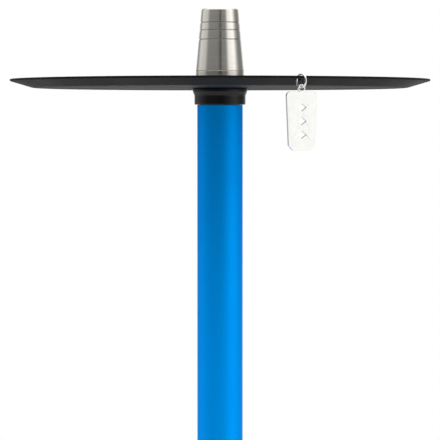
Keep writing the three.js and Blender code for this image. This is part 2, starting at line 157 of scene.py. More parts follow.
def new_object(name, vertices, faces, edge=None):
    """A smooth-shaded mesh object from points in millimetres. edge is stored for the finishes to read."""
    mesh = bpy.data.meshes.new(name)
    mesh.from_pydata([Vector(v) * MM for v in vertices], [], faces)
    if edge:
        attribute = mesh.attributes.new("edge", "FLOAT", "POINT")
        attribute.data.foreach_set("value", edge)
    mesh.shade_smooth()
    made = bpy.data.objects.new(name, mesh)
    bpy.context.scene.collection.objects.link(made)
    return made


def skin(name, rings, edges, loop):
    """Joins rings of points with quads, and with triangles where a ring is one point on the axis."""
    vertices = []
    edge = []
    rows = []
    for ring, value in zip(rings, edges):
        rows.append(range(len(vertices), len(vertices) + len(ring)))
        vertices += ring
        edge += [value] * len(ring)
    faces = []
    sides = max(len(ring) for ring in rings)
    pairs = zip(rows, [*rows[1:], rows[0]]) if loop else zip(rows, rows[1:])
    for here, there in pairs:
        for i in range(sides):
            j = (i + 1) % sides
            quad = [here[i % len(here)], here[j % len(here)], there[j % len(there)], there[i % len(there)]]
            faces.append(list(dict.fromkeys(quad)))
    return new_object(name, vertices, [f for f in faces if len(f) > 2], edge)


def turned(name, outline, sides=SIDES, shape=None, fine=None):
    """A body turned about Z. shape(r, z, angle) moves a point; fine is (step, start, end) for divided()."""
    closed = min(p[0] for p in outline) > 0
    points = rounded(outline, closed)
    if fine:
        points = divided(points, *fine)
    rings = []
    for r, z, _ in points:
        count = sides if r > TINY else 1
        ring = []
        for i in range(count):
            angle = 2 * math.pi * i / count
            rr, zz = shape(r, z, angle) if shape else (r, z)
            ring.append((rr * math.cos(angle), rr * math.sin(angle), zz))
        rings.append(ring)
    return skin(name, rings, [p[2] for p in points], closed)


def moved(piece, matrix):
    """Places a mesh by its points, because pieces stay at the frame's origin.

    The matrix is in millimetres.
    """
    in_metres = matrix.copy()
    in_metres.translation *= MM
    piece.data.transform(in_metres)
    return piece


ALONG_X = Matrix(((0, 0, 1, 0), (1, 0, 0, 0), (0, 1, 0, PORT_Z), (0, 0, 0, 1)))
AT_VALVE = Matrix.Translation((VALVE_X, 0, 0))


def ring_section(radius, height, half, steps=28, flash=0.03):
    """The round section of a seal, with the thin mould line that runs round its middle."""
    outline = []
    for i in range(steps):
        turn = 2 * math.pi * i / steps
        reach = half - flash + flash * (i % (steps // 2) == 0)
        outline.append((radius + reach * math.cos(turn), height + reach * math.sin(turn)))
    return outline


def rod(radius, start, end, sides=48):
    return turned("cutter", [(0, start), (radius, start), (radius, end), (0, end)], sides)


def bar(width, height, length, corner):
    """A bar along X with rounded corners, for cutting slots."""
    w, h = width / 2, height / 2
    corners = [(w, -h, corner), (w, h, corner), (-w, h, corner), (-w, -h, corner)]
    outline = rounded(corners)
    count = len(outline)
    vertices = [(x, p[0], p[1]) for x in (-length / 2, length / 2) for p in outline]
    sides = [(i, (i + 1) % count, count + (i + 1) % count, count + i) for i in range(count)]
    caps = [tuple(reversed(range(count))), tuple(range(count, 2 * count))]
    return new_object("cutter", vertices, sides + caps)


def applied(piece):
    """Makes a piece's modifiers part of its mesh."""
    depsgraph = bpy.context.evaluated_depsgraph_get()
    mesh = bpy.data.meshes.new_from_object(piece.evaluated_get(depsgraph), depsgraph=depsgraph)
    piece.modifiers.clear()
    piece.data = mesh
    return piece


def combined(piece, operation, *others):
    for other in others:
        modifier = piece.modifiers.new("combine", "BOOLEAN")
        modifier.operation = operation
        modifier.solver = "EXACT"
        modifier.object = other
    applied(piece)
    for other in others:
        bpy.data.objects.remove(other)
    return piece


def softened(piece, width, segments=3):
    """Rounds the edges that a cut has left sharp."""
    bevel = piece.modifiers.new("soften", "BEVEL")
    bevel.width = width * MM
    bevel.segments = segments
    bevel.limit_method = "ANGLE"
    bevel.angle_limit = BEVEL_ANGLE
    bevel.harden_normals = False
    return applied(piece)


def triangle_wave(turns):
    return abs(2 * (turns % 1) - 1)


# ---------------------------------------------------------------- node helpers

# Where a Mix node that mixes colours has them
MIX_FIRST = 6
MIX_SECOND = 7
MIX_RESULT = 2


class Finish:
    """A Principled material, and the kinds of node that the finishes below are built of."""

    def __init__(self, name, **values):
        self.material = bpy.data.materials.new(name)
        self.material.use_nodes = True
        self.tree = self.material.node_tree
        self.shader = self.tree.nodes["Principled BSDF"]
        self.place = self.node("ShaderNodeTexCoord").outputs["Object"]
        for socket, value in values.items():
            self.shader.inputs[socket.replace("_", " ")].default_value = value

    def node(self, kind, **settings):
        made = self.tree.nodes.new(kind)
        for setting, value in settings.items():
            setattr(made, setting, value)
        return made

    def feed(self, socket, value):
        if isinstance(value, bpy.types.NodeSocket):
            self.tree.links.new(value, socket)
        else:
            socket.default_value = value

    def math(self, operation, a, b=0.0):
        made = self.node("ShaderNodeMath", operation=operation)
        self.feed(made.inputs[0], a)
        self.feed(made.inputs[1], b)
        return made.outputs[0]

    def vector(self, operation, a, b):
        made = self.node("ShaderNodeVectorMath", operation=operation)
        self.feed(made.inputs[0], a)
        self.feed(made.inputs[1], b)
        return made.outputs["Value"] if operation == "LENGTH" else made.outputs["Vector"]

    def noise(self, scale, place=None, detail=2.0, rough=0.5):
        made = self.node("ShaderNodeTexNoise")
        self.feed(made.inputs["Vector"], place or self.place)
        made.inputs["Scale"].default_value = scale
        made.inputs["Detail"].default_value = detail
        made.inputs["Roughness"].default_value = rough
        return made.outputs["Fac"]

    def stretch(self, value, low_in, high_in, low_out, high_out):
        made = self.node("ShaderNodeMapRange", clamp=True)
        self.feed(made.inputs["Value"], value)
        for socket, number in zip(made.inputs[1:5], (low_in, high_in, low_out, high_out)):
            socket.default_value = number
        return made.outputs[0]

    def blend(self, factor, first, second):
        made = self.node("ShaderNodeMix", data_type="RGBA")
        self.feed(made.inputs["Factor"], factor)
        for place, colour in ((MIX_FIRST, first), (MIX_SECOND, second)):
            is_socket = isinstance(colour, bpy.types.NodeSocket)
            self.feed(made.inputs[place], colour if is_socket else (*colour, 1))
        return made.outputs[MIX_RESULT]

    def edge(self, sign):
        """1 on outward edges for sign 1, and 1 in grooves and inner corners for sign -1."""
        attribute = self.node("ShaderNodeAttribute", attribute_name="edge").outputs["Fac"]
        return self.stretch(attribute, 0.0, float(sign), 0.0, 1.0)

    def bump(self, height, depth, below=None):
        """depth is the height of the relief in millimetres."""
        made = self.node("ShaderNodeBump")
        made.inputs["Strength"].default_value = 1.0
        made.inputs["Distance"].default_value = depth * MM
        self.feed(made.inputs["Height"], height)
        if below:
            self.feed(made.inputs["Normal"], below)
        return made.outputs["Normal"]

    def finish(self, colour, roughness, normal):
        self.feed(self.shader.inputs["Base Color"], colour)
        self.feed(self.shader.inputs["Roughness"], roughness)
        self.feed(self.shader.inputs["Normal"], normal)
        return self.material


def turning_marks(finish, axis, centre):
    """The place on a turned body as (distance from its axis, distance along it, 0), which draws rings."""
    local = finish.vector("SUBTRACT", finish.place, tuple(c * MM for c in centre))
    parts = finish.node("ShaderNodeSeparateXYZ")
    finish.feed(parts.inputs[0], local)
    across = finish.vector("MULTIPLY", local, (0, 1, 1) if axis == "X" else (1, 1, 0))
    made = finish.node("ShaderNodeCombineXYZ")
    finish.feed(made.inputs[0], finish.vector("LENGTH", across, (0, 0, 0)))
    finish.feed(made.inputs[1], parts.outputs[axis])
    return made.outputs[0]


# ---------------------------------------------------------------- finishes


def turned_steel(axis="Z", centre=(0, 0, 0)):
    """Stainless steel off the lathe: fine rings, satin, a little brighter on its edges, with painted shade
    in its grooves and inner corners.
    """
    f = Finish("turned_steel", Metallic=1.0, Anisotropic=0.85, Anisotropic_Rotation=0.25)
    tangent = f.node("ShaderNodeTangent", direction_type="RADIAL", axis=axis)
    f.feed(f.shader.inputs["Tangent"], tangent.outputs[0])
    rings = turning_marks(f, axis, centre)
    fine = f.noise(9000, rings, detail=3)
    broad = f.noise(700, rings, detail=1)
    smudge = f.noise(60, detail=3)
    colour = f.blend(fine, (0.60, 0.575, 0.53), (0.74, 0.715, 0.665))
    # Painted shade: grooves and inner corners (the inward-arc mask) are darkened towards near black (0.10,
    # 0.095, 0.09).
    colour = f.blend(f.math("MULTIPLY", f.edge(-1), 0.85), colour, (0.10, 0.095, 0.09))
    colour = f.blend(f.math("MULTIPLY", f.edge(1), 0.25), colour, (0.86, 0.84, 0.80))
    varied = f.math("ADD", f.math("MULTIPLY", broad, 0.6), f.math("MULTIPLY", smudge, 0.4))
    roughness = f.stretch(varied, 0.3, 0.7, 0.20, 0.28)
    return f.finish(colour, roughness, f.bump(fine, 0.003))


def drawn_steel():
    """Stainless tube as drawn: a fine grain along its length."""
    f = Finish("drawn_steel", Metallic=1.0, Anisotropic=0.5)
    tangent = f.node("ShaderNodeTangent", direction_type="RADIAL", axis="Z")
    f.feed(f.shader.inputs["Tangent"], tangent.outputs[0])
    along = f.vector("MULTIPLY", f.place, (1, 1, 0.012))
    grain = f.noise(6000, along, detail=3)
    smudge = f.noise(45, detail=3)
    colour = f.blend(grain, (0.58, 0.57, 0.55), (0.72, 0.71, 0.69))
    colour = f.blend(f.math("MULTIPLY", f.edge(1), 0.3), colour, (0.86, 0.85, 0.83))
    roughness = f.stretch(smudge, 0.3, 0.7, 0.22, 0.34)
    return f.finish(colour, roughness, f.bump(grain, 0.004))


def polished_steel():
    """Polished stainless steel with the hairlines that handling leaves."""
    f = Finish("polished_steel", Metallic=1.0)
    hairs = f.noise(2500, f.vector("MULTIPLY", f.place, (1, 1, 0.08)), detail=4, rough=0.7)
    smudge = f.noise(300, detail=3)
    colour = f.blend(smudge, (0.79, 0.785, 0.76), (0.84, 0.835, 0.81))
    roughness = f.stretch(smudge, 0.35, 0.65, 0.16, 0.26)
    return f.finish(colour, roughness, f.bump(hairs, 0.0015))


def tray_coat():
    """Fine black powder coat: orange-peel relief with a faint speckle."""
    f = Finish("tray_coat", Specular_IOR_Level=0.04)
    peel = f.noise(1400, detail=2)
    speckle = f.noise(5200, detail=1)
    broad = f.noise(25, detail=3)
    speckled = f.stretch(speckle, 0.45, 0.7, 0, 1)
    colour = f.blend(speckled, (0.006, 0.006, 0.0055), (0.012, 0.012, 0.011))
    colour = f.blend(f.math("MULTIPLY", f.edge(1), 0.25), colour, (0.03, 0.03, 0.03))
    roughness = f.stretch(broad, 0.3, 0.7, 0.54, 0.64)
    relief = f.bump(peel, 0.010)
    return f.finish(colour, roughness, f.bump(speckle, 0.004, relief))


def blue_coat():
    """Even satin blue coat on aluminium, with a very fine grain under it."""
    blue_glint = (0.0, 0.35, 1.0, 1.0)
    f = Finish("blue_coat", Metallic=0.45, Specular_IOR_Level=0.03, Specular_Tint=blue_glint)
    grain = f.noise(5200, f.vector("MULTIPLY", f.place, (1, 1, 0.25)), detail=3)
    broad = f.noise(30, detail=3)
    colour = f.blend(f.stretch(grain, 0.3, 0.7, 0, 1), (0.0, 0.32, 0.93), (0.0, 0.36, 1.0))
    colour = f.blend(f.stretch(broad, 0.3, 0.7, 0, 0.12), colour, (0.0, 0.28, 0.88))
    colour = f.blend(f.math("MULTIPLY", f.edge(1), 0.3), colour, (0.02, 0.45, 1.0))
    roughness = f.stretch(broad, 0.3, 0.7, 0.46, 0.56)
    return f.finish(colour, roughness, f.bump(grain, 0.003))


def black_polymer():
    """Turned black acetal: faint rings and a soft waxy gloss."""
    f = Finish("black_polymer", Specular_IOR_Level=0.3)
    rings = f.noise(4200, turning_marks(f, "Z", (0, 0, 0)), detail=2)
    mottle = f.noise(180, detail=3)
    colour = f.blend(mottle, (0.0025, 0.0025, 0.0025), (0.0045, 0.0045, 0.0045))
    colour = f.blend(f.math("MULTIPLY", f.edge(1), 0.3), colour, (0.02, 0.02, 0.02))
    roughness = f.stretch(mottle, 0.3, 0.7, 0.28, 0.38)
    return f.finish(colour, roughness, f.bump(rings, 0.004))


def black_anodised():
    """Black anodised aluminium: a matt bead-blasted grain, worn a little on its edges."""
    f = Finish("black_anodised", Metallic=0.6, Specular_IOR_Level=0.5)
    blast = f.noise(5600, detail=2)
    broad = f.noise(40, detail=3)
    colour = f.blend(blast, (0.020, 0.020, 0.022), (0.034, 0.034, 0.037))
    colour = f.blend(f.math("MULTIPLY", f.edge(1), 0.35), colour, (0.12, 0.12, 0.125))
    roughness = f.stretch(broad, 0.3, 0.7, 0.36, 0.48)
    return f.finish(colour, roughness, f.bump(blast, 0.005))


def black_silicone():
    """Matt moulded silicone with fine dust in its skin."""
    f = Finish("black_silicone", Specular_IOR_Level=0.35)
    skin_grain = f.noise(2600, detail=3)
    dust = f.noise(900, detail=4, rough=0.65)
    dusty = f.stretch(dust, 0.55, 0.72, 0, 0.5)
    colour = f.blend(dusty, (0.020, 0.020, 0.021), (0.075, 0.075, 0.076))
    roughness = f.stretch(skin_grain, 0.3, 0.7, 0.58, 0.74)
    return f.finish(colour, roughness, f.bump(skin_grain, 0.006))


def seal_rubber():
    """Black nitrile rubber, slightly greasy."""
    f = Finish("seal_rubber", Specular_IOR_Level=0.45)
    skin_grain = f.noise(3800, detail=2)
    grease = f.noise(500, detail=2)
    colour = f.blend(grease, (0.012, 0.012, 0.012), (0.022, 0.022, 0.022))
    roughness = f.stretch(grease, 0.35, 0.65, 0.34, 0.55)
    return f.finish(colour, roughness, f.bump(skin_grain, 0.004))


STEEL_Z = turned_steel()
STEEL_X = turned_steel("X", (0, 0, PORT_Z))
STEEL_VALVE = turned_steel("Z", (VALVE_X, 0, 0))
DRAWN = drawn_steel()
POLISHED = polished_steel()
TRAY_COAT = tray_coat()
BLUE = blue_coat()
POLYMER = black_polymer()
ANODISED = black_anodised()
SILICONE = black_silicone()
RUBBER = seal_rubber()


def stands_for(piece, node, material):
    """Names a piece, gives it its finish, and puts it in the place of a CAD node."""
    piece.name = piece.data.name = node + "_visual"
    piece.data.materials.clear()
    piece.data.materials.append(material)
    piece.data.set_sharp_from_angle(angle=SHARP_ANGLE)
    normals = piece.modifiers.new("even_shading", "WEIGHTED_NORMAL")
    normals.keep_sharp = True
    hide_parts(node)
    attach(piece, BODY_OF[node])
    return piece


def seal(node, radius, height, half, matrix=None):
    piece = turned(node, ring_section(radius, height, half), SEAL_SIDES)
    if matrix:
        moved(piece, matrix)
    stands_for(piece, node, RUBBER)


def tube_seal(node, height):
    """The seal round the smoke tube or the downstem."""
    seal(node, (SOCKET_R + SEAL_SEAT_R) / 2, height, TUBE_SEAL_HALF)


# ---------------------------------------------------------------- top end

ADAPTER_TOP_R = 10.55
ADAPTER_SKIRT = RIM_Z + 5.4
ADAPTER_BORE = 5.75
ADAPTER_GROOVES = [RIM_Z + 23.3, RIM_Z + 28.65, RIM_Z + 32.95]
SOCKET_DEPTH = 15.4


def cone_radius(z):
    share = (z - ADAPTER_SKIRT) / (ADAPTER_TOP - ADAPTER_SKIRT)
    return ADAPTER_BASE_R + share * (ADAPTER_TOP_R - ADAPTER_BASE_R)


def cone_groove(z, half=0.35, depth=0.4):
    """A turned groove with a narrow flat floor."""
    floor = cone_radius(z) - depth
    return [
        (cone_radius(z - half), z - half, 0.06),
        (floor, z - 0.4 * half, 0.1),
        (floor, z + 0.4 * half, 0.1),
        (cone_radius(z + half), z + half, 0.06),
    ]


def bowl_adapter():
    line = 0.18  # half the width of the fine line where the cone starts
    line_depth = 0.16
    outline = [
        (SOCKET_R, ADAPTER_BASE, 0.3),
        (ADAPTER_BASE_R, ADAPTER_BASE, 0.35),
        (ADAPTER_BASE_R, ADAPTER_SKIRT - line, 0.08),
        (ADAPTER_BASE_R - line_depth, ADAPTER_SKIRT, 0.05),
        (cone_radius(ADAPTER_SKIRT + line), ADAPTER_SKIRT + line, 0.08),
        *[point for z in ADAPTER_GROOVES for point in cone_groove(z)],
        (ADAPTER_TOP_R, ADAPTER_TOP, 1.3),
        (ADAPTER_BORE, ADAPTER_TOP, 0.6),
        (ADAPTER_BORE, ADAPTER_BASE + SOCKET_DEPTH, 0.2),
        (SOCKET_R, ADAPTER_BASE + SOCKET_DEPTH, 0.2),
    ]
    stands_for(turned("adapter", outline, WIDE_SIDES), "bowl_adapter", STEEL_Z)


def tray_collar():
    lip_r = high("tray_collar").x
    neck_r = 14.6
    lip_under = RIM_Z - 6.4
    shoulder = TUBE_TOP + 0.1
    outline = [
        (SOCKET_R, low("tray_collar").z, 0.3),
        (TUBE_BORE - GAP, low("tray_collar").z, 0.5),
        (TUBE_BORE - GAP, shoulder, 0.1),
        (neck_r, shoulder, 0.5),
        (neck_r, lip_under - 2.2, 4),
        (lip_r, lip_under, 0.3),
        (lip_r, COLLAR_TOP, 0.5),
        (SEAL_SEAT_R, COLLAR_TOP, 0.2),
        (SEAL_SEAT_R, COLLAR_TOP - SEAL_SEAT_DEPTH, 0.1),
        (SOCKET_R, COLLAR_TOP - SEAL_SEAT_DEPTH, 0.2),
    ]
    stands_for(turned("collar", outline, WIDE_SIDES), "tray_collar", POLYMER)
    tube_seal("adapter_o_ring", COLLAR_TOP - SEAL_SEAT_DEPTH / 2)


# ---------------------------------------------------------------- tray

TRAY_SHEET = 1.3
TRAY_HOLE_R = 14.3
WALL_FOOT_R = 106.7  # where the underside starts to rise
CHARM_HOLE_R = 1.8


def tray():
    floor = TRAY_UNDER + TRAY_SHEET
    wall_top_r = TRAY_R - RIM_HALF + 0.2
    wall_top = RIM_Z - RIM_HALF + 0.05
    outline = [
        (TRAY_HOLE_R, TRAY_UNDER, 0.3),
        (WALL_FOOT_R, TRAY_UNDER, 8),
        (wall_top_r, wall_top, 0.4),
        (TRAY_R, RIM_Z, 0.5),
        (wall_top_r, RIM_Z + RIM_HALF, 0.4),
        (WALL_FOOT_R - 0.5, floor, 7),
        (TRAY_HOLE_R, floor, 0.3),
    ]
    dish = turned("tray", outline, WIDE_SIDES)
    swing = JOINT["charm_ring_swing"]["pos_m"]
    hole = Vector(swing) / MM
    azimuth = math.atan2(hole.x, -hole.y)
    slope = math.atan2(wall_top - TRAY_UNDER, wall_top_r - WALL_FOOT_R)
    drill = moved(
        rod(CHARM_HOLE_R, -4, 4),
        Matrix.Translation(hole) @ Matrix.Rotation(azimuth, 4, "Z") @ Matrix.Rotation(-slope, 4, "X"),
    )
    combined(dish, "DIFFERENCE", drill)
    stands_for(softened(dish, 0.12), "tray", TRAY_COAT)


# ---------------------------------------------------------------- charm

RING_WIRE_R = 0.55
TAG_AZIMUTH = math.radians(22)
TAG_WIDTH = 17.8
TAG_FOOT_WIDTH = 15.2
TAG_THICK = 1.3
EYE_R = 2.1
EYE_HOLE_R = 1.35
TAG_BEVEL = 0.22
WINDOW_ROWS = (0.27, 0.5, 0.73)  # shares of the plate's height


def charm_ring():
    lo, hi = low("charm_ring"), high("charm_ring")
    mean_r = (hi.z - lo.z) / 2 - RING_WIRE_R
    seam = math.radians(118)  # where the wire's two ends meet

    def butt_joint(r, z, angle):
        gap = (angle - seam) / math.radians(1.6)
        keep = 1 - 0.3 * math.exp(-gap * gap)
        return mean_r + (r - mean_r) * keep, z * keep

    section = ring_section(mean_r, 0, RING_WIRE_R, steps=24, flash=0)
    piece = turned("ring", section, 288, butt_joint)
    swing_axis = Vector(JOINT["charm_ring_swing"]["axis"])
    facing = swing_axis.to_track_quat("Z", "Y").to_matrix().to_4x4()
    moved(piece, Matrix.Translation((lo + hi) / 2) @ facing)
    stands_for(piece, "charm_ring", POLISHED)


def tag_outline():
    """The tag's edge, with its eye's middle at the origin."""
    top = -EYE_R + 0.35
    foot = EYE_R - (high("charm_tag").z - low("charm_tag").z)
    half = TAG_WIDTH / 2
    foot_half = TAG_FOOT_WIDTH / 2
    corner = 2.6
    steps = 40
    neck = math.sqrt(EYE_R**2 - top**2)
    start = math.atan2(top, neck)
    sweep = math.pi - 2 * start
    eye = [
        (EYE_R * math.cos(start + sweep * k / steps), EYE_R * math.sin(start + sweep * k / steps))
        for k in range(1, steps)
    ]
    plate = rounded([
        (neck, top, 0.35),
        *eye,
        (-neck, top, 0.35),
        (-half, top, 2.4),
        (-foot_half, foot + corner, 1.2),
        (-foot_half + corner, foot, 1.2),
        (foot_half - corner, foot, 1.2),
        (foot_half, foot + corner, 1.2),
        (half, top, 2.4),
    ])
    windows = [rhombus(top - row * (top - foot)) for row in WINDOW_ROWS]
    return [plate, eye_hole(), *windows]


def eye_hole(steps=48):
    turns = [2 * math.pi * k / steps for k in range(steps)]
    return [(EYE_HOLE_R * math.cos(t), EYE_HOLE_R * math.sin(t)) for t in turns]


def rhombus(y, half_width=2.6, half_height=2.0):
    return rounded([
        (half_width, y, 0.25),
        (0, y + half_height, 0.25),
        (-half_width, y, 0.25),
        (0, y - half_height, 0.25),
    ])


def charm_tag():
    """A plate with rounded edges, made as a filled curve."""
    curve = bpy.data.curves.new("tag", "CURVE")
    curve.dimensions = "2D"
    curve.fill_mode = "BOTH"
    curve.extrude = (TAG_THICK / 2 - TAG_BEVEL) * MM
    curve.bevel_depth = TAG_BEVEL * MM
    curve.bevel_resolution = 3
    curve.offset = -TAG_BEVEL * MM
    for loop in tag_outline():
        spline = curve.splines.new("POLY")
        spline.points.add(len(loop) - 1)
        for point, (x, y, *_) in zip(spline.points, loop):
            point.co = (x * MM, y * MM, 0, 1)
        spline.use_cyclic_u = True
    outline = bpy.data.objects.new("tag_outline", curve)
    bpy.context.scene.collection.objects.link(outline)
    depsgraph = bpy.context.evaluated_depsgraph_get()
    mesh = bpy.data.meshes.new_from_object(outline.evaluated_get(depsgraph))
    bpy.data.objects.remove(outline)
    piece = bpy.data.objects.new("tag", mesh)
    bpy.context.scene.collection.objects.link(piece)
    weld = piece.modifiers.new("weld", "WELD")
    weld.merge_threshold = TINY
    applied(piece)
    piece.data.shade_smooth()
    hinge = Vector(JOINT["charm_tag_swing"]["pos_m"]) / MM
    eye = Vector((hinge.x, hinge.y, high("charm_tag").z - EYE_R))
    upright = Matrix.Rotation(math.pi / 2, 4, "X")
    moved(piece, Matrix.Translation(eye) @ Matrix.Rotation(TAG_AZIMUTH, 4, "Z") @ upright)
    stands_for(piece, "charm_tag", POLISHED)


# ---------------------------------------------------------------- tubes


def tube(node, bore, material, sides=SIDES):
    lo, hi = low(node), high(node)
    end_round = 0.35
    outline = [
        (bore, lo.z, end_round),
        (hi.x, lo.z, end_round),
        (hi.x, hi.z, end_round),
        (bore, hi.z, end_round),
    ]
    stands_for(turned(node, outline, sides), node, material)


def tube_foot_ring():
    base = low("tube_foot_ring").z
    shelf = low("outer_tube").z - 0.1
    collar_r = 14.6
    outline = [
        (SOCKET_R, base, 0.2),
        (high("tube_foot_ring").x, base, 0.3),
        (high("tube_foot_ring").x, base + 2.2, 0.5),
        (collar_r, base + 4, 1.5),
        (collar_r, shelf, 0.8),
        (TUBE_BORE - GAP, shelf, 0.1),
        (TUBE_BORE - GAP, high("tube_foot_ring").z, 0.5),
        (SOCKET_R, high("tube_foot_ring").z, 0.3),
    ]
    stands_for(turned("foot_ring", outline, WIDE_SIDES), "tube_foot_ring", POLYMER)


# ---------------------------------------------------------------- hub

CHAMBER_ROOF = 33
PILLAR_R = 12
PILLAR_BOTTOM = 12
STOP_LOW = 24
STOP_HIGH = 27


def hub_body():
    chamfer = 1.5
    shell = turned("hub", [
        (CHAMBER_R, HUB_BOTTOM, 0.3),
        (HUB_R - chamfer, HUB_BOTTOM, 0.4),
        (HUB_R, HUB_BOTTOM + chamfer, 0.4),
        (HUB_R, HUB_TOP - chamfer, 0.4),
        (HUB_R - chamfer, HUB_TOP, 0.4),
        (SEAL_SEAT_R, HUB_TOP, 0.2),
        (SEAL_SEAT_R, HUB_TOP - SEAL_SEAT_DEPTH, 0.1),
        (SOCKET_R, HUB_TOP - SEAL_SEAT_DEPTH, 0.2),
        (SOCKET_R, STOP_HIGH, 0.1),
        (SMOKE_BORE, STOP_HIGH, 0.1),
        (SMOKE_BORE, STOP_LOW, 0.1),
        (SOCKET_R, STOP_LOW, 0.1),
        (SOCKET_R, PILLAR_BOTTOM, 0.3),
        (PILLAR_R, PILLAR_BOTTOM, 0.3),
        (PILLAR_R, CHAMBER_ROOF, 0.5),
        (CHAMBER_R, CHAMBER_ROOF, 0.5),
    ], WIDE_SIDES)
    boss_r = 14.5
    boss_chamfer = 0.9
    boss = moved(turned("boss", [
        (PORT_HOLE_R, PORT_SEAT),
        (boss_r, PORT_SEAT),
        (boss_r, BOSS_END - boss_chamfer, 0.3),
        (boss_r - boss_chamfer, BOSS_END, 0.3),
        (PORT_HOLE_R, BOSS_END),
    ], SIDES), ALONG_X)
    inside = CHAMBER_R - 5
    sleeve_r = 11.3
    seal_seat = BOSS_END - 1.8
    seal_seat_r = 13
    port = moved(turned("port", [
        (0, inside),
        (PORT_HOLE_R, inside),
        (PORT_HOLE_R, PORT_SEAT),
        (sleeve_r, PORT_SEAT),
        (sleeve_r, seal_seat),
        (seal_seat_r, seal_seat),
        (seal_seat_r, BOSS_END + 1),
        (0, BOSS_END + 1),
    ], SIDES), ALONG_X)
    valve_floor = low("valve_seat").z - GAP
    valve_hole_r = 3
    valve_hole = moved(rod(valve_hole_r, CHAMBER_ROOF - 1, valve_floor + 1), AT_VALVE)
    valve_bore = moved(rod(VALVE_BORE, valve_floor, HUB_TOP + 1, 96), AT_VALVE)
    combined(shell, "UNION", boss)
    combined(shell, "DIFFERENCE", port, valve_hole, valve_bore)
    stands_for(softened(shell, 0.25, 2), "hub_body", ANODISED)
    tube_seal("smoke_tube_o_ring", HUB_TOP - SEAL_SEAT_DEPTH / 2)


# ---------------------------------------------------------------- hose port


def hose_port_sleeve():
    flange = BOSS_END + 0.1
    front = high("hose_port_sleeve").x
    flange_r = high("hose_port_sleeve").y
    sleeve_r = 11
    outline = [
        (PORT_HOLE_R, PORT_SEAT + GAP, 0.3),
        (sleeve_r, PORT_SEAT + GAP, 0.3),
        (sleeve_r, flange, 0.1),
        (flange_r, flange, 0.2),
        (flange_r, front, 0.7),
        (PORT_HOLE_R, front, 0.5),
    ]
    piece = moved(turned("sleeve", outline, WIDE_SIDES), ALONG_X)
    stands_for(piece, "hose_port_sleeve", STEEL_X)
    seal("hose_port_o_ring", 12.15, BOSS_END - 0.9, 0.7, ALONG_X)


CONNECTOR_BORE = 5.5
CONNECTOR_R = 8.6  # of the end that goes into the sleeve
CONNECTOR_SEALS = [34.5, 40.5]
GRIP_END = 64
BARBS = [66, 73, 80]
LAST_BARB = 87  # runs down to the spigot's end
BARB_PEAK = 9.2
BARB_FLAT = 0.8
BARB_VALLEY = 8.1


def connector_groove(x):
    half, floor = 1.1, 6.9
    return [
        (CONNECTOR_R, x - half, 0.12),
        (floor, x - half, 0.1),
        (floor, x + half, 0.1),
        (CONNECTOR_R, x + half, 0.12),
    ]


def barb(x):
    length = 6
    return [(BARB_PEAK, x, 0.25), (BARB_PEAK, x + BARB_FLAT, 0.5), (BARB_VALLEY, x + length, 0.4)]


def hose_connector():
    start = low("hose_connector").x
    end = high("hose_connector").x
    shoulder = high("hose_port_sleeve").x + GAP
    shoulder_r = high("hose_connector").y
    grip_r = 12.2
    end_r = 7.8
    teeth = 60
    depth = 0.32
    first, last = shoulder + 4.4, GRIP_END - 1.6

    def diamond_knurl(r, x, angle):
        if r < grip_r - 0.05 or not first < x < last:
            return r, x
        around = angle / (2 * math.pi) * teeth
        along = (x - first) / (2 * math.pi * grip_r / teeth)
        crest = min(triangle_wave(around + along), triangle_wave(around - along))
        fade = min(1, (x - first) / 0.4, (last - x) / 0.4)
        return r - depth * fade * (1 - crest), x

    outline = [
        (CONNECTOR_BORE, start, 0.3),
        (CONNECTOR_R, start, 0.7),
        *[point for x in CONNECTOR_SEALS for point in connector_groove(x)],
        (CONNECTOR_R, shoulder, 0.2),
        (shoulder_r, shoulder, 0.3),
        (shoulder_r, shoulder + 2.6, 0.4),
        (grip_r, shoulder + 3.6, 0.2),
        (grip_r, first),
        (grip_r, last),
        (grip_r, GRIP_END - 1, 0.2),
        (grip_r - 1, GRIP_END, 0.2),
        (BARB_VALLEY, GRIP_END, 0.4),
        *[point for x in BARBS for point in barb(x)],
        (BARB_PEAK, LAST_BARB, 0.25),
        (BARB_PEAK, LAST_BARB + BARB_FLAT, 0.5),
        (end_r, end, 0.5),
        (CONNECTOR_BORE, end, 0.5),
    ]
    piece = turned("connector", outline, teeth * KNURL_SAMPLES, diamond_knurl, (0.2, first, last))
    stands_for(moved(piece, ALONG_X), "hose_connector", STEEL_X)
    for x, node in zip(CONNECTOR_SEALS, ("connector_o_ring_inner", "connector_o_ring_outer")):
        seal(node, 8, x, 0.75, ALONG_X)


# ---------------------------------------------------------------- purge valve


def valve_seat():
    lo, hi = low("valve_seat"), high("valve_seat")
    bore = 2.5
    outline = [
        (bore, lo.z, 0.1),
        (VALVE_BORE - GAP, lo.z, 0.2),
        (VALVE_BORE - GAP, hi.z, 0.2),
        (bore, hi.z, 0.1),
    ]
    stands_for(moved(turned("seat", outline, 96), AT_VALVE), "valve_seat", STEEL_VALVE)


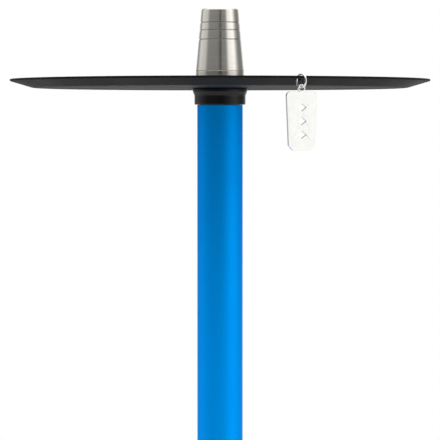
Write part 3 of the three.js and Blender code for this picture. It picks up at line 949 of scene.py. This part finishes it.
def valve_cap():
    foot, top = low("valve_cap").z, high("valve_cap").z
    head_r = (high("valve_cap").x - low("valve_cap").x) / 2
    head = HUB_TOP + 0.1
    inner = 4.6
    roof = top - 1.5
    teeth, tooth_depth = 36, 0.22
    knurl_low, knurl_high = top - 2.6, top - 1
    vent_r, vent_z = 1.3, head + 2.2

    def coin_edge(r, z, angle):
        if r < head_r - 0.05 or not knurl_low < z < knurl_high:
            return r, z
        fade = min(1, (z - knurl_low) / 0.25, (knurl_high - z) / 0.25)
        return r - tooth_depth * fade * triangle_wave(angle / (2 * math.pi) * teeth), z

    outline = [
        (0, roof),
        (inner, roof, 0.4),
        (inner, foot, 0.1),
        (VALVE_BORE - GAP, foot, 0.2),
        (VALVE_BORE - GAP, head, 0.1),
        (head_r, head, 0.3),
        (head_r, knurl_low),
        (head_r, knurl_high),
        (head_r, top, 0.8),
        (0, top),
    ]
    piece = turned("cap", outline, teeth * KNURL_SAMPLES, coin_edge, (0.12, knurl_low, knurl_high))
    vents = [
        moved(
            rod(vent_r, -10, 10),
            Matrix.Translation((0, 0, vent_z))
            @ Matrix.Rotation(math.radians(azimuth), 4, "Z")
            @ Matrix.Rotation(math.pi / 2, 4, "X"),
        )
        for azimuth in (0, 60, 120)
    ]
    combined(piece, "DIFFERENCE", *vents)
    stands_for(moved(piece, AT_VALVE), "valve_cap", STEEL_VALVE)


def purge_ball():
    lo, hi = low("purge_ball"), high("purge_ball")
    radius = (hi.z - lo.z) / 2
    middle = (hi.z + lo.z) / 2
    steps = 48
    turns = [math.pi * k / steps for k in range(steps + 1)]
    outline = [
        (radius * math.sin(turn) * (0 < turn < math.pi), middle - radius * math.cos(turn))
        for turn in turns
    ]
    stands_for(moved(turned("ball", outline, 96), AT_VALVE), "purge_ball", POLISHED)


# ---------------------------------------------------------------- flask seat


def neck_spigot():
    end, top = low("neck_spigot").z, high("neck_spigot").z
    seat_r, bore = 19.5, 17
    rim = high("neck_spigot").x
    groove_floor = CHAMBER_R - 1.8
    groove_low, groove_high = 5, 7
    outline = [
        (bore, end, 0.4),
        (seat_r, end, 0.8),
        (seat_r, HUB_BOTTOM, 0.2),
        (rim, HUB_BOTTOM, 0.2),
        (rim, groove_low, 0.15),
        (groove_floor, groove_low, 0.1),
        (groove_floor, groove_high, 0.1),
        (rim, groove_high, 0.15),
        (rim, top, 0.3),
        (bore, top, 0.3),
    ]
    stands_for(turned("spigot", outline, WIDE_SIDES), "neck_spigot", ANODISED)
    seal("spigot_o_ring", 26.1, (groove_low + groove_high) / 2, 0.7)


def neck_gasket():
    """A tapered plug with soft sealing ribs under a flange."""
    end, top = low("neck_gasket").z, high("neck_gasket").z
    inner = 19.8
    plug_top_r, plug_end_r = 24, 21.8
    ribs = 4
    pitch = -end / ribs

    def plug_radius(z):
        return plug_top_r + (plug_end_r - plug_top_r) * z / end

    plug = []
    for i in range(ribs):
        crest = end + (i + 0.5) * pitch
        plug.append((plug_radius(crest), crest, 1.2))
        if i < ribs - 1:
            plug.append((plug_radius(crest + pitch / 2) - 0.8, crest + pitch / 2, 1.2))
    outline = [
        (inner, end, 0.3),
        (plug_end_r - 0.7, end, 0.5),
        *plug,
        (plug_top_r - 0.7, 0, 0.4),
        (high("neck_gasket").x, 0, 0.5),
        (high("neck_gasket").x, top, 0.5),
        (inner, top, 0.2),
    ]
    stands_for(turned("gasket", outline, WIDE_SIDES), "neck_gasket", SILICONE)


# ---------------------------------------------------------------- downstem and diffuser


def downstem():
    lo, hi = low("downstem"), high("downstem")
    flange_low, flange_high = 7.5, 10
    outline = [
        (SMOKE_BORE, lo.z, 0.3),
        (SMOKE_R, lo.z, 0.5),
        (SMOKE_R, flange_low, 0.4),
        (hi.x, flange_low, 0.3),
        (hi.x, flange_high, 0.3),
        (SMOKE_R, flange_high, 0.2),
        (SMOKE_R, hi.z, 0.4),
        (SMOKE_BORE, hi.z, 0.3),
    ]
    stands_for(turned("downstem", outline, SIDES), "downstem", DRAWN)
    tube_seal("downstem_o_ring", flange_high + 1)


def diffuser():
    end, top = low("diffuser").z, high("diffuser").z
    radius = high("diffuser").x
    inner = SMOKE_R + 0.4
    seal_z = top - 5
    well = low("downstem").z - GAP
    well_r = 8
    seal_floor = 9.9
    floor = end + 3
    cup = turned("diffuser", [
        (0, end),
        (radius, end, 1.2),
        (radius, top, 0.8),
        (inner, top, 0.5),
        (inner, seal_z + 1, 0.1),
        (seal_floor, seal_z + 1, 0.1),
        (seal_floor, seal_z - 1, 0.1),
        (inner, seal_z - 1, 0.1),
        (inner, well, 0.2),
        (well_r, well - 1, 0.2),
        (well_r, floor, 0.8),
        (0, floor),
    ], WIDE_SIDES)
    slot_width, slot_height = 2, 16
    slots = [
        moved(
            bar(slot_width, slot_height, 2 * radius + 2, 0.95),
            Matrix.Translation((0, 0, floor + slot_height / 2 + 1))
            @ Matrix.Rotation(math.radians(azimuth), 4, "Z"),
        )
        for azimuth in (0, 60, 120)
    ]
    combined(cup, "DIFFERENCE", *slots)
    stands_for(softened(cup, 0.15, 2), "diffuser", POLYMER)
    seal("diffuser_o_ring", 9.05, seal_z, 0.7)


# ---------------------------------------------------------------- studio

CAMERA_BACK = 1.4  # metres from the stem's axis to the camera
CAMERA_BELOW_RIM = 0.0238
AIM_BELOW_RIM = 0.0799
LENS = 200
SENSOR = 36
FLOOR_Z = -0.25  # clear of the diffuser when it is pulled down

# What a ring of screens round the object gives off:
# (azimuth from the camera towards +X in degrees, brightness)
SCREENS = [
    (-180, 1.40),
    (-154, 0.60),
    (-140, 0.30),
    (-116, 0.98),
    (-98, 0.82),
    (-80, 0.76),
    (-65, 0.27),
    (-14, 0.20),
    (-5, 0.165),
    (-1, 0.00),
    (5, 0.00),
    (9, 0.175),
    (14, 0.23),
    (32, 0.25),
    (46, 1.30),
    (78, 1.65),
    (91, 0.75),
    (106, 0.30),
    (134, 0.28),
    (150, 0.90),
    (180, 1.40),
]
OVERHEAD = 1.5
# How high a direction points where the ceiling light starts, and where it has taken over
CEILING_START = 0.38
CEILING_FULL = 0.75
FLOOR_R = 1.5
# Metres from the floor's middle where it starts to glow white, and where it is all white
FADE_START = 0.3
FADE_END = 1.3


def camera():
    data = bpy.data.cameras.new("camera")
    data.lens = LENS
    data.sensor_width = SENSOR
    data.clip_start = 0.05
    made = bpy.data.objects.new("camera", data)
    bpy.context.scene.collection.objects.link(made)
    rim = RIM_Z * MM
    made.location = (0, -CAMERA_BACK, rim - CAMERA_BELOW_RIM)
    aim = Vector((0, 0, rim - AIM_BELOW_RIM)) - made.location
    made.rotation_euler = aim.to_track_quat("-Z", "Y").to_euler()
    bpy.context.scene.camera = made


def screens_world():
    """A ring of soft screens and a soft ceiling light the object; the camera sees plain white behind it."""
    world = bpy.data.worlds.new("screens")
    bpy.context.scene.world = world
    world.use_nodes = True
    nodes, links = world.node_tree.nodes, world.node_tree.links
    background = nodes["Background"]
    place = nodes.new("ShaderNodeTexCoord")
    parts = nodes.new("ShaderNodeSeparateXYZ")
    links.new(place.outputs["Generated"], parts.inputs[0])
    front = nodes.new("ShaderNodeMath")
    front.operation = "MULTIPLY"
    front.inputs[1].default_value = -1
    links.new(parts.outputs["Y"], front.inputs[0])
    azimuth = nodes.new("ShaderNodeMath")
    azimuth.operation = "ARCTAN2"
    links.new(parts.outputs["X"], azimuth.inputs[0])
    links.new(front.outputs[0], azimuth.inputs[1])
    share = nodes.new("ShaderNodeMapRange")
    share.inputs["From Min"].default_value = -math.pi
    share.inputs["From Max"].default_value = math.pi
    links.new(azimuth.outputs[0], share.inputs["Value"])
    ring = nodes.new("ShaderNodeValToRGB")
    stops = ring.color_ramp.elements
    while len(stops) < len(SCREENS):
        stops.new(0.5)
    for stop, (degrees, brightness) in zip(stops, SCREENS):
        stop.position = (degrees + 180) / 360
        stop.color = (brightness, brightness, brightness, 1)
    links.new(share.outputs["Result"], ring.inputs[0])
    height = nodes.new("ShaderNodeMapRange")
    height.interpolation_type = "SMOOTHSTEP"
    height.inputs["From Min"].default_value = CEILING_START
    height.inputs["From Max"].default_value = CEILING_FULL
    links.new(parts.outputs["Z"], height.inputs["Value"])
    light = nodes.new("ShaderNodeMix")
    light.data_type = "RGBA"
    links.new(height.outputs["Result"], light.inputs["Factor"])
    links.new(ring.outputs["Color"], light.inputs[MIX_FIRST])
    light.inputs[MIX_SECOND].default_value = (OVERHEAD, OVERHEAD, OVERHEAD, 1)
    rays = nodes.new("ShaderNodeLightPath")
    seen = nodes.new("ShaderNodeMix")
    seen.data_type = "RGBA"
    links.new(rays.outputs["Is Camera Ray"], seen.inputs["Factor"])
    links.new(light.outputs[MIX_RESULT], seen.inputs[MIX_FIRST])
    seen.inputs[MIX_SECOND].default_value = (1, 1, 1, 1)
    links.new(seen.outputs[MIX_RESULT], background.inputs["Color"])


def floor():
    """A pale round floor that fades into the white behind it."""
    radius = FLOOR_R / MM
    sides = 48
    turns = [2 * math.pi * i / sides for i in range(sides)]
    rim = [(radius * math.cos(turn), radius * math.sin(turn), 0) for turn in turns]
    vertices = [(0, 0, 0), *rim]
    faces = [(0, 1 + i, 1 + (i + 1) % sides) for i in range(sides)]
    made = new_object("floor", vertices, faces)
    made.location.z = FLOOR_Z
    f = Finish("floor")
    f.shader.inputs["Roughness"].default_value = 0.9
    f.shader.inputs["Specular IOR Level"].default_value = 0.1
    grain = f.noise(40, detail=4)
    f.feed(f.shader.inputs["Base Color"], f.blend(grain, (0.90, 0.90, 0.89), (0.93, 0.93, 0.92)))
    distance = f.vector("LENGTH", f.place, (0, 0, 0))
    glow = f.node("ShaderNodeEmission")
    fade = f.node("ShaderNodeMixShader")
    f.feed(fade.inputs[0], f.stretch(distance, FADE_START, FADE_END, 0.15, 1))
    f.feed(fade.inputs[1], f.shader.outputs[0])
    f.feed(fade.inputs[2], glow.outputs[0])
    f.feed(f.tree.nodes["Material Output"].inputs["Surface"], fade.outputs[0])
    made.data.materials.append(f.material)


# ---------------------------------------------------------------- assembly

camera()
screens_world()
floor()
bpy.context.scene.view_settings.view_transform = "Standard"

bowl_adapter()
tray_collar()
tray()
charm_ring()
charm_tag()
tube("outer_tube", TUBE_BORE, BLUE, sides=WIDE_SIDES)
tube("smoke_tube", SMOKE_BORE, DRAWN)
tube_foot_ring()
hub_body()
hose_port_sleeve()
hose_connector()
valve_seat()
purge_ball()
valve_cap()
neck_spigot()
neck_gasket()
downstem()
diffuser()
